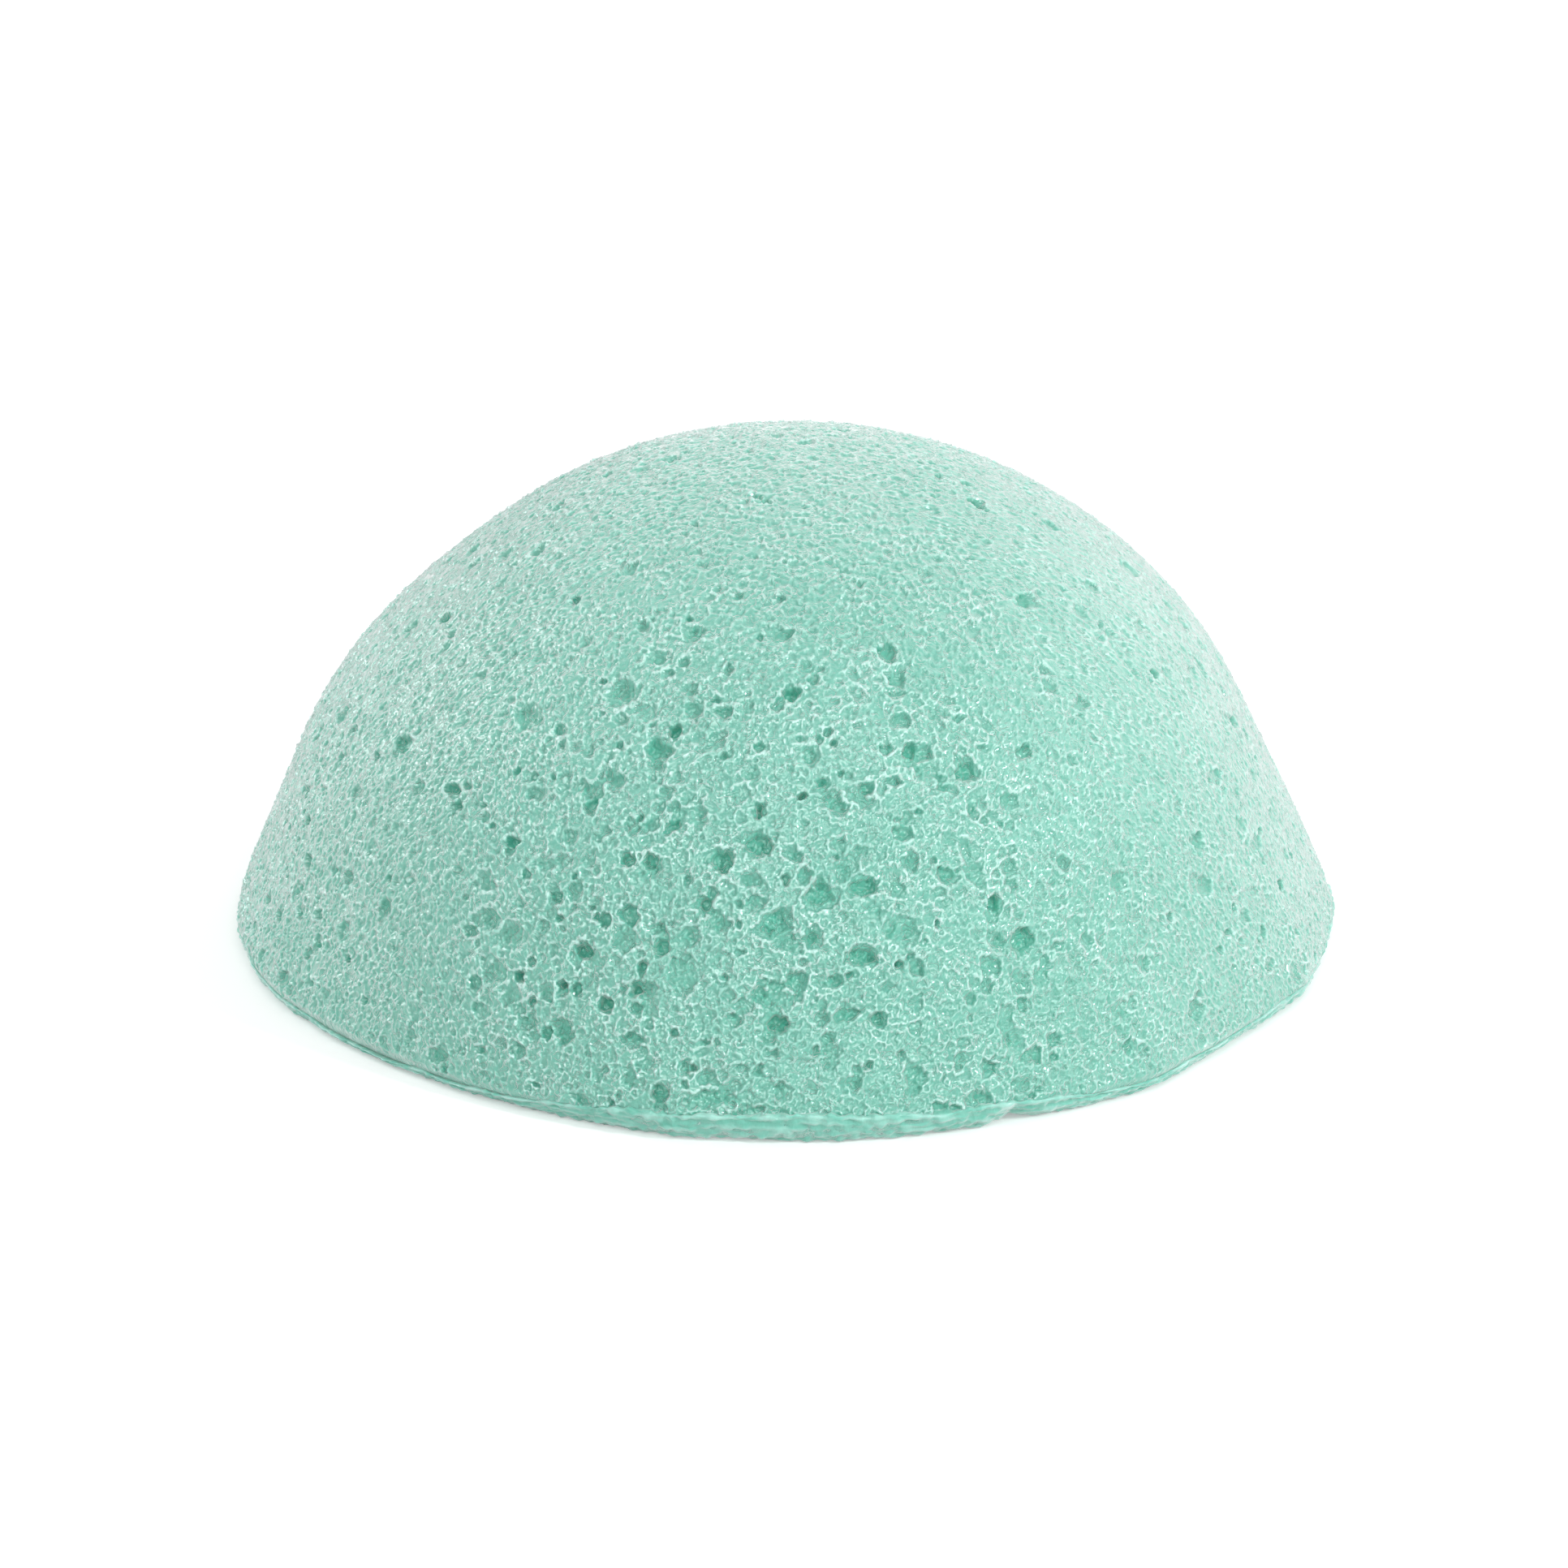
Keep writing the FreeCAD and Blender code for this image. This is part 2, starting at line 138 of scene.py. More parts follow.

# Large open pores of the front, listed one by one: degrees round from the front, share of the foam's height,
# diameter, width over height, depth.
FRONT_PORES = (
    (-47.0, 0.505, 1.20, 1.6, 0.8), (-45.0, 0.485, 0.75, 1.0, 0.7), (-40.8, 0.652, 1.90, 1.1, 0.5),
    (-35.5, 0.185, 0.95, 1.0, 0.5), (-35.2, 0.455, 1.00, 1.8, 0.9), (-33.4, 0.217, 2.00, 1.0, 0.4),
    (-32.0, 0.290, 1.90, 1.0, 0.4), (-30.6, 0.176, 1.50, 1.0, 0.4), (-30.3, 0.220, 0.80, 1.0, 0.9),
    (-28.5, 0.130, 1.40, 1.0, 0.4), (-27.6, 0.375, 1.10, 1.0, 0.7), (-27.3, 0.722, 2.00, 1.2, 0.6),
    (-26.2, 0.540, 1.10, 1.0, 0.7), (-25.8, 0.124, 0.90, 1.0, 0.6), (-25.0, 0.220, 0.70, 1.0, 0.9),
    (-24.0, 0.780, 1.35, 1.1, 0.6), (-23.3, 0.215, 0.95, 1.0, 0.7), (-23.0, 0.288, 1.40, 1.1, 1.0),
    (-21.0, 0.352, 1.10, 0.9, 0.7), (-20.8, 0.010, 1.10, 1.6, 0.5), (-19.7, 0.464, 1.05, 1.0, 0.7),
    (-19.6, 0.195, 1.30, 1.0, 1.0), (-19.2, 0.534, 0.65, 1.0, 0.7), (-19.0, 0.648, 1.80, 1.0, 0.8),
    (-18.5, 0.323, 1.90, 1.0, 0.4), (-18.3, 0.363, 1.30, 1.0, 0.7), (-17.3, 0.678, 1.00, 1.0, 1.1),
    (-16.7, 0.464, 1.30, 1.0, 0.8), (-16.5, 0.229, 0.80, 1.0, 1.0), (-16.2, 0.140, 1.30, 1.7, 0.6),
    (-16.0, 0.274, 0.95, 0.7, 0.8), (-16.0, 0.065, 1.30, 1.0, 0.4), (-15.0, 0.527, 0.95, 1.0, 0.8),
    (-14.2, 0.315, 1.30, 1.0, 0.8), (-12.8, 0.046, 1.40, 1.1, 0.7), (-11.4, 0.266, 2.30, 1.0, 0.4),
    (-9.7, 0.400, 1.40, 1.1, 1.0), (-8.3, 0.479, 1.70, 1.2, 0.9), (-5.6, 0.045, 1.10, 1.0, 0.4),
    (-4.0, 0.560, 0.90, 0.6, 1.1), (-4.0, 0.505, 1.80, 1.2, 0.9), (-3.7, 0.405, 1.30, 1.5, 0.5),
    (-1.8, 0.363, 2.20, 1.2, 0.7), (-1.3, 0.187, 1.70, 1.1, 1.0), (-0.4, 0.060, 1.20, 1.0, 0.4),
    (0.0, 0.745, 1.30, 1.2, 1.0), (1.1, 0.265, 1.50, 1.0, 0.6), (1.7, 0.588, 0.70, 1.2, 1.0),
    (2.8, 0.343, 1.40, 0.9, 0.7), (2.9, 0.650, 1.30, 0.7, 0.6), (3.7, 0.413, 1.90, 1.6, 0.8),
    (4.2, 0.158, 1.20, 1.0, 0.5), (4.5, 0.605, 0.95, 1.0, 0.8), (6.2, 0.203, 1.20, 1.4, 0.6),
    (6.5, 0.565, 1.20, 1.0, 0.5), (8.3, 0.306, 1.90, 1.5, 0.8), (8.8, 0.430, 1.70, 1.8, 0.9),
    (9.6, 0.188, 1.20, 1.0, 0.8), (10.3, 0.595, 1.10, 1.0, 0.7), (12.0, 0.287, 0.40, 1.0, 0.8),
    (12.8, 0.420, 1.10, 1.0, 0.4), (12.9, 0.058, 1.10, 1.0, 0.4), (13.1, 0.352, 2.00, 1.0, 0.4),
    (14.2, 0.520, 1.30, 1.5, 0.6), (16.5, 0.696, 1.40, 1.5, 0.5), (17.1, 0.649, 1.25, 1.0, 0.9),
    (17.7, 0.758, 1.30, 1.2, 0.6), (19.0, 0.437, 1.30, 1.0, 0.6), (20.9, 0.077, 1.20, 1.0, 0.6),
    (22.0, 0.230, 1.10, 1.0, 0.4), (23.5, 0.150, 1.30, 1.0, 0.4), (24.0, 0.535, 1.00, 1.0, 0.5),
    (24.4, 0.372, 1.30, 0.8, 1.0), (24.5, 0.607, 1.75, 1.0, 0.9), (26.0, 0.220, 1.60, 1.0, 0.4),
    (26.0, 0.085, 1.30, 1.4, 0.5), (26.9, 0.296, 1.70, 1.0, 0.9), (27.0, 0.433, 1.20, 1.0, 0.5),
    (34.0, 0.615, 1.10, 1.2, 0.7), (34.4, 0.420, 1.00, 1.0, 0.5),
)
FRONT_PORE_SCALE = 1.1

# Middling pores tried all over, and kept where the foam is open or by a small chance elsewhere.
MIDDLE_PORES = 3000
MIDDLE_LEAST, MIDDLE_RANGE, MIDDLE_POWER = 0.6, 1.1, 1.5
MIDDLE_DEPTHS, MIDDLE_STRETCH, MIDDLE_CHANCE = (0.22, 0.55), (-0.3, 0.45), 0.09
OPEN_MIDDLE, OPEN_REACH = -4.0, 34.0  # where the front is open, in degrees
OPEN_LEVEL, OPEN_LEVEL_REACH = 0.32, 0.42  # and in shares of the foam's height
OPEN_AWAY, OPEN_PATCHES = 75.0, 0.8  # patches set in this far round from the front

# Large pores of the sides and back, spread by the golden ratio as on the solid.
BACK_PORES = 40
BACK_START, BACK_SWEEP = 48.0, 258.0
BACK_LOWEST, BACK_HIGHEST = 0.06, 0.94
BACK_DIAMETERS = (1.76, 1.21, 1.43, 2.09, 1.32, 0.99, 1.54)
BACK_DEPTHS, BACK_STRETCH = (0.5, 1.0), (-0.2, 0.3)
GOLDEN_SHARE = (math.sqrt(5) - 1) / 2

# Winding creases between the cells: wavelength and rise.
CREASES = ((1.15, 0.055), (0.85, 0.045))
CREASE_WAVES, CREASE_WIDTH = 48, 0.085
CREASE_GAPS, CREASE_GAP_WAVES, CREASE_GAP_EDGE = 2.2, 24, (-0.9, 0.5)

SOFTENING = 0.15  # share of the relief that is blurred
RELIEF_FLOOR, RELIEF_REACH = -0.22, 0.35  # relief is height over the mean of this reach
DEEPEST = 1.2
BURIED_EDGE, BURIED_CALM, BURIED_SINK = 0.12, 0.7, 0.18  # the foam that lies behind the skin's band

# Shallow cells of the skin's underside and wall.
UNDERSIDE_CELLS, UNDERSIDE_SHARE, UNDERSIDE_COVER = 900, 0.97, 0.9
UNDERSIDE_DIAMETERS, UNDERSIDE_DEPTHS, UNDERSIDE_STRETCH = (0.6, 1.9), (0.05, 0.32), (-0.3, 0.3)
WALL_CELLS, WALL_COVER = 900, 0.7
WALL_DIAMETERS, WALL_DEPTHS, WALL_RIMS, WALL_STRETCH = (0.35, 1.0), (0.02, 0.10), (0.0, 0.05), (0.0, 0.8)
SKIN_CELL_SIDES = 6
WALL_INSETS = (1.4, 0.5)  # the wall sets in between these distances in from the rim
STREAK_SQUEEZE = (0.16, 0.16, 1.0)
COARSE_STREAKS, FINE_STREAKS, FINE_SHARE = (0.55, 32), (0.3, 32), 0.7
STREAK_RISE, RUFFLE_RISE, LIP_RISE = 0.035, 0.045, 0.04
LIP_DROP, LIP_WIDTH = 0.06, 0.12
LIP_GAPS, LIP_GAP_EDGE = (3.0, 24), (-0.5, 0.9)
OFF_THE_FLOOR = 0.02  # what is higher than this belongs to the band

MAP_MARGIN = 0.002  # of the texture map

# Colours of the foam: the gel; its dishes and pits, darker green as painted shade; the rims, paler as thin gel
# walls with a painted highlight; and the fine pale lines, a painted highlight too.
MINT, PALER_MINT = (0.088, 0.455, 0.341, 1.0), (0.113, 0.486, 0.372, 1.0)
DISH_SHADE_GREEN, PIT_SHADE_GREEN = (0.048, 0.402, 0.296, 1.0), (0.036, 0.412, 0.290, 1.0)
FROST_AND_HIGHLIGHT, PALE_LINE_HIGHLIGHT = (0.46, 0.76, 0.68, 1.0), (0.50, 0.78, 0.71, 1.0)
# Colours of the skin: the gel, the streaks along the rim and the lip.
SKIN_MINT, PALER_SKIN = (0.130, 0.490, 0.380, 1.0), (0.225, 0.590, 0.485, 1.0)
STREAK_PALE, LIP_PALE = (0.42, 0.75, 0.66, 1.0), (0.56, 0.83, 0.76, 1.0)
WHITE = (1.0, 1.0, 1.0, 1.0)

# Soft lamps: name, degrees round from the front, elevation, size in metres, power.
LAMPS = (
    ("left_softbox", -112.0, 26.0, 0.30, 1.5),
    ("right_softbox", 58.0, 30.0, 0.06, 1.9),
    ("front_softbox", -4.0, 40.0, 0.45, 2.25),
    ("right_edge_softbox", 122.0, 34.0, 0.80, 1.8),
    ("top_softbox", 170.0, 60.0, 0.60, 0.4),
)
LAMP_DISTANCE = 0.70
AIM_HEIGHT = 0.015  # where the lamps and the camera look, in metres
AMBIENT = 0.34
FLOOR_HALF = 6.0
FLOOR_PAINT = (0.80, 0.80, 0.80, 1.0)
GLOW_NEAR, GLOW_FAR = (0.15, 0.35), (0.80, 0.80)  # distance in metres, strength

# The photograph's view: degrees and metres.
CAMERA_ELEVATION, CAMERA_ROLL = 22.09, 0.22
CAMERA_DISTANCE = 0.600
CAMERA_RIGHT, CAMERA_UP = -0.00023, -0.00397
CAMERA_SENSOR, CAMERA_LENS = 36.0, 190.7
CAMERA_CLIP = (0.01, 50.0)


def smooth_step(low, high, value):
    share = np.clip((value - low) / (high - low), 0.0, 1.0)
    return share * share * (3.0 - 2.0 * share)


def random_field(points, wavelength, waves, rng):
    """A smooth random field of about unit spread, from plane waves of one wavelength."""
    ways = rng.normal(size=(waves, 3))
    ways *= (TAU / wavelength) / np.linalg.norm(ways, axis=1, keepdims=True)
    ways *= rng.uniform(*WAVE_SPREAD, size=(waves, 1))
    phases = rng.uniform(0.0, TAU, waves)
    total = np.zeros(points.shape[:-1], np.float32)
    for way, phase in zip(ways.astype(np.float32), phases):
        total += np.cos(points @ way + np.float32(phase))
    return total * math.sqrt(2.0 / waves)


def stretch(limits, rng):
    """A random width over height, from the limits of its logarithm."""
    return math.exp(rng.uniform(*limits))


def turned_from(degrees, middle):
    """Degrees round from a place, from -180 to 180."""
    return (degrees - middle + 180.0) % 360.0 - 180.0


def from_front(points):
    """Degrees round from the front, from -180 to 180."""
    return np.degrees(np.arctan2(points[..., 0], -points[..., 1]))


def reach_of(points):
    """Distance from the upright axis."""
    return np.hypot(points[..., 0], points[..., 1])


def square_to_disc(side):
    """Share of the disc's radius and angle for each point of a square grid with a middle point."""
    line = np.linspace(-1.0, 1.0, side)
    u, v = np.meshgrid(line, line, indexing="ij")
    flat = np.abs(u) >= np.abs(v)
    main, minor = np.where(flat, u, v), np.where(flat, v, u)
    slope = np.divide(minor, main, out=np.zeros_like(main), where=main != 0)
    angle = np.where(flat, slope * TAU / 8, TAU / 4 - slope * TAU / 8)
    angle = np.where(main < 0, angle + TAU / 2, angle)
    return np.abs(main), angle


def disc_to_square(share, angle):
    """The square grid's parameters, from -1 to 1, of one point of the disc."""
    turned = (angle + TAU / 8) % TAU - TAU / 8
    quarter = int((turned + TAU / 8) // (TAU / 4))
    along = (turned - quarter * TAU / 4) / (TAU / 8) * share
    return ((share, along), (-along, share), (-share, -along), (along, -share))[quarter]


class DomeForm:
    """The turned dome: a straight flank that runs into a round crown, by arc length from the apex."""

    def __init__(self, foot_radius, foot_level, apex_level):
        rise = apex_level - foot_level
        flank_rise = FLANK_SHARE * rise
        crown_rise = rise - flank_rise
        reach = math.sqrt(foot_radius ** 2 + flank_rise * (2 * crown_rise + flank_rise))
        self.shoulder_radius = crown_rise * flank_rise / (reach - foot_radius)
        self.crown_radius = (self.shoulder_radius ** 2 + crown_rise ** 2) / (2 * crown_rise)
        self.crown_centre = apex_level - self.crown_radius
        self.shoulder_level = foot_level + flank_rise
        self.foot_radius, self.foot_level, self.apex_level = foot_radius, foot_level, apex_level
        run = foot_radius - self.shoulder_radius
        self.flank_length = math.hypot(run, flank_rise)
        self.flank_way = (run / self.flank_length, -flank_rise / self.flank_length)
        self.crown_length = self.crown_radius * math.asin(self.shoulder_radius / self.crown_radius)
        self.length = self.crown_length + self.flank_length

    def at(self, arc):
        """Radius, height, and the outward normal's radial and upright shares."""
        angle = np.minimum(arc, self.crown_length) / self.crown_radius
        beyond = np.maximum(arc - self.crown_length, 0.0)
        below = np.maximum(arc - self.length, 0.0)
        run = (beyond - below) * self.flank_way[0] - TUCK_BEND * below ** 2
        fall = (beyond - below) * self.flank_way[1] - below
        radius = self.crown_radius * np.sin(angle) + run
        height = self.crown_centre + self.crown_radius * np.cos(angle) + fall
        return radius, height, np.sin(angle), np.cos(angle)

    @staticmethod
    def spread(share):
        """Share of the arc length: rings are a little closer together towards the foot."""
        return (1.0 + RING_CROWDING) * share - RING_CROWDING * share ** 4

    def arc_at(self, height_share):
        """Arc length at a share of the foam's height."""
        height = self.foot_level + height_share * (self.apex_level - self.foot_level)
        if height < self.shoulder_level:
            return self.length + (height - self.foot_level) / self.flank_way[1]
        return self.crown_radius * math.acos((height - self.crown_centre) / self.crown_radius)


class SkinForm:
    """The skin's half profile from the middle of the underside, round the rim and in under the foam."""

    def __init__(self, reach, top):
        self.profile = np.array((
            (0.0, 0.0), (reach - SKIN_FLAT_INSET, 0.0), (reach - 1.3, 0.02), (reach - 0.75, 0.16),
            (reach - 0.35, 0.55), (reach - 0.10, 1.05), (reach - 0.03, top - 0.34),
            (reach + 0.06, top - 0.12), (reach + 0.02, top + 0.04), (reach - 0.22, top + 0.08),
            (reach - 0.6, top + 0.06), (reach - 3.0, top - 0.2),
        ))
        steps = np.diff(self.profile, axis=0)
        lengths = np.hypot(steps[:, 0], steps[:, 1])
        self.runs = np.concatenate(([0.0], np.cumsum(lengths)))
        self.middles = (self.runs[:-1] + self.runs[1:]) / 2
        self.ways = np.stack((steps[:, 1], -steps[:, 0])) / lengths
        self.wall_start, self.wall_end = self.runs[3], self.runs[8]
        self.length, self.foot_radius, self.flat_radius = self.runs[-1], reach, reach - SKIN_FLAT_INSET

    def at(self, arc):
        radius, height = (np.interp(arc, self.runs, self.profile[:, axis]) for axis in (0, 1))
        outward, upward = (np.interp(arc, self.middles, way) for way in self.ways)
        size = np.hypot(outward, upward)
        return radius, height, outward / size, upward / size

    def spread(self, share):
        places = (0.0, self.runs[1], self.runs[-2], self.length)
        return np.interp(share, SKIN_RING_SHARES, places) / self.length


class Surface:
    """A form laid out on a square grid, with a height to be carved at each point."""

    def __init__(self, form, side, tuck):
        self.side = side
        self.form = form
        self.total = form.length + tuck
        share, angle = square_to_disc(side)
        radius, height, outward, upward = form.at(self.total * form.spread(share))
        cosine, sine = np.cos(angle), np.sin(angle)
        self.points = np.stack((radius * cosine, radius * sine, height), -1).astype(np.float32)
        self.normals = np.stack((outward * cosine, outward * sine, upward), -1).astype(np.float32)
        self.heights = np.zeros((side, side), np.float32)
        self.steps = np.linspace(0.0, 1.0, SPREAD_STEPS)
        self.spacing = TAU * form.foot_radius / (4 * (side - 1))

    def add_waves(self, ruffle, crinkle, rng):
        """Draws the fields that make outlines uneven."""
        self.ruffle = random_field(self.points, *ruffle, rng)
        self.crinkle = random_field(self.points, *crinkle, rng)

    def patch(self, angle, arc, reach):
        """The grid window round a place, and its points' places across and up from there."""
        share = np.interp(arc / self.total, self.form.spread(self.steps), self.steps)
        place = [(p + 1) / 2 * (self.side - 1) for p in disc_to_square(share, angle)]
        wide = int(math.ceil(WINDOW_MARGIN * reach / self.spacing)) + 1
        window = tuple(slice(max(int(p) - wide, 0), min(int(p) + wide + 2, self.side)) for p in place)
        radius, height, outward, upward = self.form.at(arc)
        cosine, sine = math.cos(angle), math.sin(angle)
        centre = np.array((radius * cosine, radius * sine, height), np.float32)
        frame_ways = np.array((
            (-sine, -upward * cosine),
            (cosine, -upward * sine),
            (0.0, outward),
        ), np.float32)
        return window, (self.points[window] - centre) @ frame_ways


def outline_gauge(flat, radius, width, sides, power, rng):
    """0 at a cell's middle and 1 on its outline, which is a rounded, uneven polygon."""
    places = np.arange(sides) + rng.uniform(-SIDE_SHIFT, SIDE_SHIFT, sides)
    turns = places * (TAU / sides) + rng.uniform(0.0, TAU)
    reaches = radius * rng.uniform(*SIDE_REACHES, sides)
    across, up = math.sqrt(width), 1.0 / math.sqrt(width)
    ways = np.stack((np.cos(turns) / across, np.sin(turns) / up)) / reaches
    sides_met = np.maximum(flat @ ways.astype(np.float32), 0.0)
    return (sides_met ** power).sum(-1) ** (1.0 / power)


def carve_cell(surface, angle, arc, diameter, depth, rim, cover, width, sides, rng):
    """One foam cell: a dish with a thin, broken raised rim that overlays what was there."""
    radius = diameter / 2
    window, flat = surface.patch(angle, arc, radius * CELL_REACH + CELL_MARGIN)
    gauge = outline_gauge(flat, radius, width, sides, CELL_POWER, rng)
    gap = (gauge - 1.0) * radius + CELL_RUFFLE * surface.ruffle[window]
    there = surface.heights[window]
    inside = cover * smooth_step(*CELL_EDGE, gap)
    dish = -depth * np.maximum(1.0 - gauge * gauge, 0.0) ** CELL_DISH_POWER
    ridge_turn = rng.uniform(0.0, TAU)
    lean = np.cos(np.arctan2(flat[..., 1], flat[..., 0]) - ridge_turn)
    ridge = rim * smooth_step(*CELL_RIM_LEAN, lean) * np.exp(-((gap / CELL_RIM_WIDTH) ** 2))
    surface.heights[window] = there + inside * (dish - there) + ridge


def lobed_gauge(flat, radius, width, rng):
    """As outline_gauge, for a pore that has run together from a large cell and a smaller one beside it."""
    main = outline_gauge(flat, radius, width, int(rng.integers(*CELL_SIDES)), PORE_POWER, rng)
    turn, lobe = rng.uniform(0.0, TAU), radius * rng.uniform(*LOBE_SIZES)
    offset = radius * rng.uniform(*LOBE_OFFSETS) * np.array((math.cos(turn), math.sin(turn)), np.float32)
    return np.minimum(main, outline_gauge(flat - offset, lobe, width, LOBE_SIDES, CELL_POWER, rng))


def bowl(gauge, edge):
    """Depth of a floor, from the edge's share at its outline to 1 in the middle."""
    return edge + (1.0 - edge) * (1.0 - np.minimum(gauge, 1.0) ** 2)


def carve_pore(surface, angle, arc, diameter, depth, width, rng):
    """One large open pore: a shallow ledge, a steeper hole in it and a thin raised rim."""
    radius = diameter / 2
    longest = max(width, 1 / width) ** 0.5
    window, flat = surface.patch(angle, arc, radius * PORE_REACH * longest + PORE_MARGIN)
    ruffle, crinkle = surface.ruffle[window], surface.crinkle[window]
    there = surface.heights[window]

    gauge = lobed_gauge(flat, radius, width, rng)
    gap = (gauge - 1.0) * radius + PORE_RUFFLE * ruffle + PORE_CRINKLE * crinkle
    ledge_depth = min(LEDGE_DEPTH * depth, LEDGE_MOST)
    ledge = -ledge_depth * bowl(gauge, LEDGE_BOWL) + LEDGE_KEPT * there
    rim = PORE_RIM * smooth_step(*PORE_RIM_BREAKS, ruffle + PORE_RIM_CRINKLE * crinkle)
    ridge = rim * np.exp(-(((gap - PORE_RIM_OUT) / PORE_RIM_WIDTH) ** 2))
    first = there + smooth_step(*LEDGE_EDGE, gap) * (ledge - there) + ridge

    inner = radius * rng.uniform(*HOLE_SIZES)
    shift = (rng.uniform(*HOLE_SIDEWAYS), rng.uniform(*HOLE_UPWARD))
    offset = np.array(shift, np.float32) * (radius - inner)
    inner_gauge = lobed_gauge(flat - offset, inner, width, rng)
    inner_gap = (inner_gauge - 1.0) * inner + PORE_RUFFLE * ruffle + PORE_CRINKLE * crinkle
    floor = -HOLE_DEPTH * depth * bowl(inner_gauge, HOLE_BOWL) + HOLE_KEPT * there + PORE_CRINKLE * crinkle
    hole = smooth_step(HOLE_EDGE[0], HOLE_EDGE[1] - HOLE_SLOPE * depth, inner_gap)
    surface.heights[window] = first + hole * np.minimum(floor - first, 0.0)


def scatter(form, count, rng):
    """Random places, even by area: angle and arc length."""
    crown_area = TAU * form.crown_radius * (form.apex_level - form.shoulder_level)
    flank_area = math.pi * (form.foot_radius + form.shoulder_radius) * form.flank_length
    on_crown = rng.uniform(0.0, crown_area + flank_area, count) < crown_area
    share = rng.uniform(0.0, 1.0, count)
    level = form.shoulder_level + share * (form.apex_level - form.shoulder_level)
    crown_arc = form.crown_radius * np.arccos((level - form.crown_centre) / form.crown_radius)
    low, high = form.shoulder_radius ** 2, form.foot_radius ** 2
    run = np.sqrt(low + share * (high - low)) - form.shoulder_radius
    flank_arc = form.crown_length + run / form.flank_way[0]
    return rng.uniform(0.0, TAU, count), np.where(on_crown, crown_arc, flank_arc)


def porous_share(form, angle, arc):
    """How open the foam is, from 0 to 1: most at the lower front, patchy elsewhere, least at the top."""
    height = form.at(arc)[1]
    level = (height - form.foot_level) / (form.apex_level - form.foot_level)
    degrees = turned_from(np.degrees(angle), -90.0)
    round_front = np.exp(-(((degrees - OPEN_MIDDLE) / OPEN_REACH) ** 4))
    front = round_front * np.exp(-(((level - OPEN_LEVEL) / OPEN_LEVEL_REACH) ** 4))
    patches = 0.5 + 0.5 * np.sin(3.0 * angle + 0.7 + 5.0 * level) * np.sin(5.0 * angle - 9.0 * level)
    away = 1.0 - np.exp(-((degrees / OPEN_AWAY) ** 4))
    return np.clip(front + away * OPEN_PATCHES * patches * (1.0 - level), 0.0, 1.0)


def carve_cells(surface, rng):
    """The foam's cells, roughly from coarse to fine."""
    angles, arcs = scatter(surface.form, FOAM_CELLS, rng)
    sizes = np.clip(CELL_DIAMETER * np.exp(CELL_SPREAD * rng.normal(size=FOAM_CELLS)), CELL_LEAST, CELL_MOST)
    for place in np.argsort(-sizes * rng.uniform(*CELL_ORDER, FOAM_CELLS)):
        diameter = sizes[place]
        depth = (CELL_DEPTH + CELL_DEPTH_CHANCE * rng.uniform() ** 2) * diameter + CELL_DEPTH_LEAST
        carve_cell(
            surface, angles[place], arcs[place], diameter, depth, rim=rng.uniform(*CELL_RIMS),
            cover=CELL_COVER, width=stretch(CELL_STRETCH, rng), sides=int(rng.integers(*CELL_SIDES)), rng=rng,
        )


def carve_pores(surface, rng):
    """The open pores: the middling ones, then the large ones of the front and of the sides and back."""
    form = surface.form
    angles, arcs = scatter(form, MIDDLE_PORES, rng)
    for angle, arc, share in zip(angles, arcs, porous_share(form, angles, arcs)):
        diameter = MIDDLE_LEAST + MIDDLE_RANGE * rng.uniform() ** MIDDLE_POWER
        depth = rng.uniform(*MIDDLE_DEPTHS)
        width, chance = stretch(MIDDLE_STRETCH, rng), rng.uniform()
        if chance < MIDDLE_CHANCE + (1.0 - MIDDLE_CHANCE) * share:
            carve_pore(surface, angle, arc, diameter, depth, width, rng)
    for degrees, height_share, diameter, width, depth in FRONT_PORES:
        angle = math.radians(degrees) - TAU / 4
        carve_pore(surface, angle, form.arc_at(height_share), FRONT_PORE_SCALE * diameter, depth, width, rng)
    for index in range(BACK_PORES):
        degrees = BACK_START + BACK_SWEEP * ((index * GOLDEN_SHARE) % 1.0)
        height_share = BACK_LOWEST + (BACK_HIGHEST - BACK_LOWEST) * (index + 0.5) / BACK_PORES
        carve_pore(
            surface, math.radians(degrees) - TAU / 4, form.arc_at(height_share),
            BACK_DIAMETERS[index % len(BACK_DIAMETERS)], rng.uniform(*BACK_DEPTHS), stretch(BACK_STRETCH, rng), rng,
        )


def raise_creases(surface, rng):
    """Thin winding creases, broken here and there, where a random field passes zero."""
    for wavelength, rise in CREASES:
        creases = random_field(surface.points, wavelength, CREASE_WAVES, rng)
        breaks = random_field(surface.points, CREASE_GAPS, CREASE_GAP_WAVES, rng)
        width = CREASE_WIDTH * TAU / wavelength
        surface.heights += rise * smooth_step(*CREASE_GAP_EDGE, breaks) * np.exp(-((creases / width) ** 2))


def band_height(degrees):
    """Height of the skin's band."""
    places, heights = np.array(BAND_HEIGHTS).T
    waves = sum(rise * np.sin(np.radians(number * degrees) + phase) for rise, number, phase in BAND_WAVES)
    return np.interp(degrees, places, heights, period=360.0) + waves


def fade_up(height, fade):
    """1 at the foot and below, and less with height."""
    return np.exp(-np.maximum(height, 0.0) / fade)


